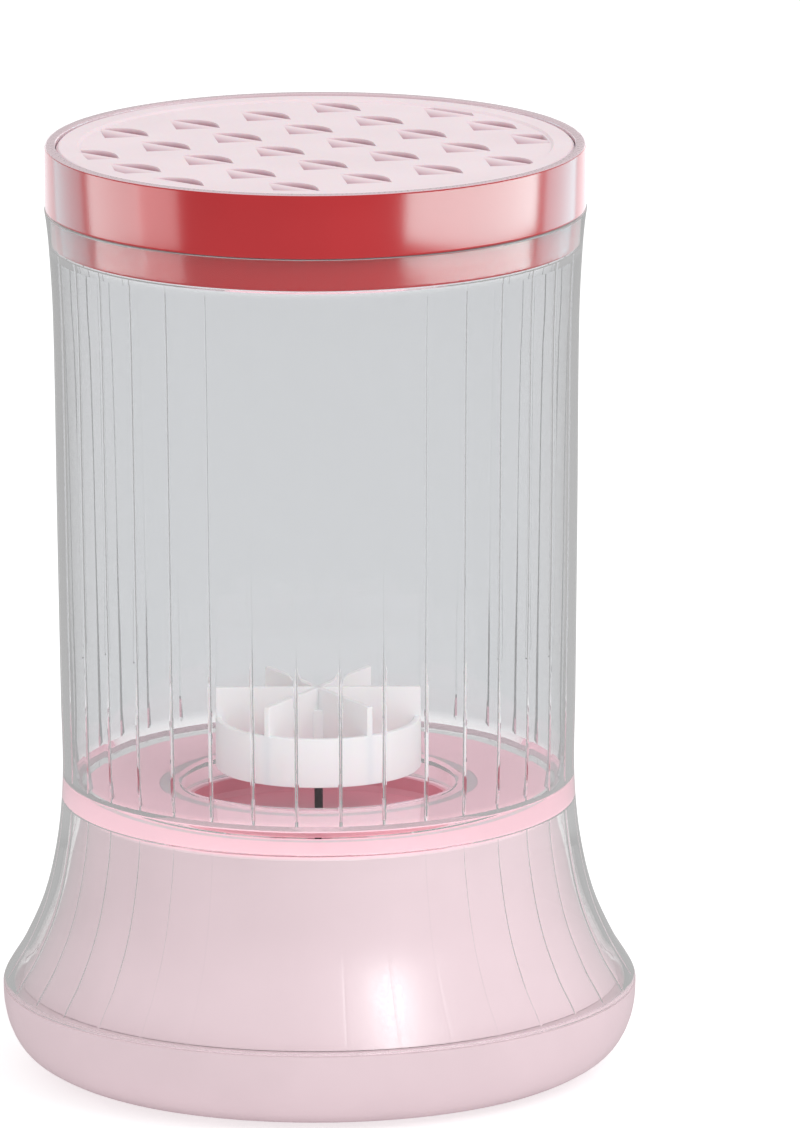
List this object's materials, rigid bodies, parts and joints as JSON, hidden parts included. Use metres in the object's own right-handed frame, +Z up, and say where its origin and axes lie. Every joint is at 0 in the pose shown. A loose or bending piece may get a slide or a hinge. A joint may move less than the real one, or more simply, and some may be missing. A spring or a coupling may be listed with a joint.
{
  "type": "makeup brush cleaner",
  "caption": "Electric cleaner for make-up brushes: fluted clear cup on a rounded base, driven paddle in a well, and a plated lift-off lid with a slotted silicone pad.",
  "frame": {"origin": "middle of the base on the plane of the rubber feet", "axes": "+Z up along the cup and the paddle's shaft; +Y to the back, where the charging port and the button are; +X to the viewer's right from the front"},
  "size_m": [0.1118, 0.1118, 0.165],
  "materials": {
    "pink_plastic": "satin moulded pale pink",
    "foot_rubber": "matt",
    "clear_plastic": "clear polished moulding",
    "rose_silicone": "deep pink silicone",
    "seal_rubber": "matt",
    "plated_ring": "polished rose plating",
    "gasket_rubber": "matt",
    "pink_silicone": "matt pale pink silicone",
    "white_plastic": "moulded white",
    "steel": "zinc plated",
    "dark_steel": "blackened",
    "bronze": "bare bronze and copper",
    "magnet": "sintered ferrite",
    "rotor_iron": "varnished laminations and windings",
    "cell_sleeve": "shrink sleeve",
    "board": "solder mask",
    "chip": "epoxy",
    "button_plastic": "polished",
    "lead_red": "insulated wire",
    "lead_black": "insulated wire"
  },
  "bodies": {
    "base": {"base_pan": "pink_plastic", "rubber_feet": "foot_rubber", "housing": "pink_plastic", "clear_cup": "clear_plastic", "cup_seal": "pink_silicone", "shaft_seal": "seal_rubber", "well_liner": "rose_silicone", "motor_can": "steel", "motor_bushes": "bronze", "motor_end_cap": "white_plastic", "motor_brushes": "bronze", "motor_magnets": "magnet", "motor_bracket": "steel", "motor_screws": "steel", "bracket_screws": "steel", "pan_screws": "steel", "board_screws": "steel", "strap_screws": "steel", "battery": "cell_sleeve", "battery_strap": "white_plastic", "circuit_board": "board", "board_chips": "chip", "usb_socket": "steel", "tact_switch": "chip", "light_pipe": "clear_plastic", "motor_leads": "lead_red", "battery_leads": "lead_black"},
    "lid": {"lid_ring": "plated_ring", "lid_gasket": "gasket_rubber", "lid_pad": "pink_silicone"},
    "spindle": {"motor_shaft": "dark_steel", "motor_rotor": "rotor_iron", "commutator": "bronze"},
    "paddle": {"paddle": "white_plastic"},
    "button": {"power_button": "button_plastic", "switch_plunger": "white_plastic"}
  },
  "joints": [
    {"name": "lid_lift", "type": "slide", "parent": "base", "child": "lid", "axis": [0, 0, 1], "range_m": [0, 0.04]},
    {"name": "paddle_spin", "type": "hinge", "parent": "base", "child": "spindle", "pos_m": [0, 0, 0.04], "axis": [0, 0, 1], "continuous": true},
    {"name": "paddle_pull", "type": "slide", "parent": "spindle", "child": "paddle", "axis": [0, 0, 1], "range_m": [0, 0.025]},
    {"name": "button_press", "type": "slide", "parent": "base", "child": "button", "axis": [0, -1, 0], "range_m": [0, 0.0008], "stiffness_N_per_m": 300}
  ]
}
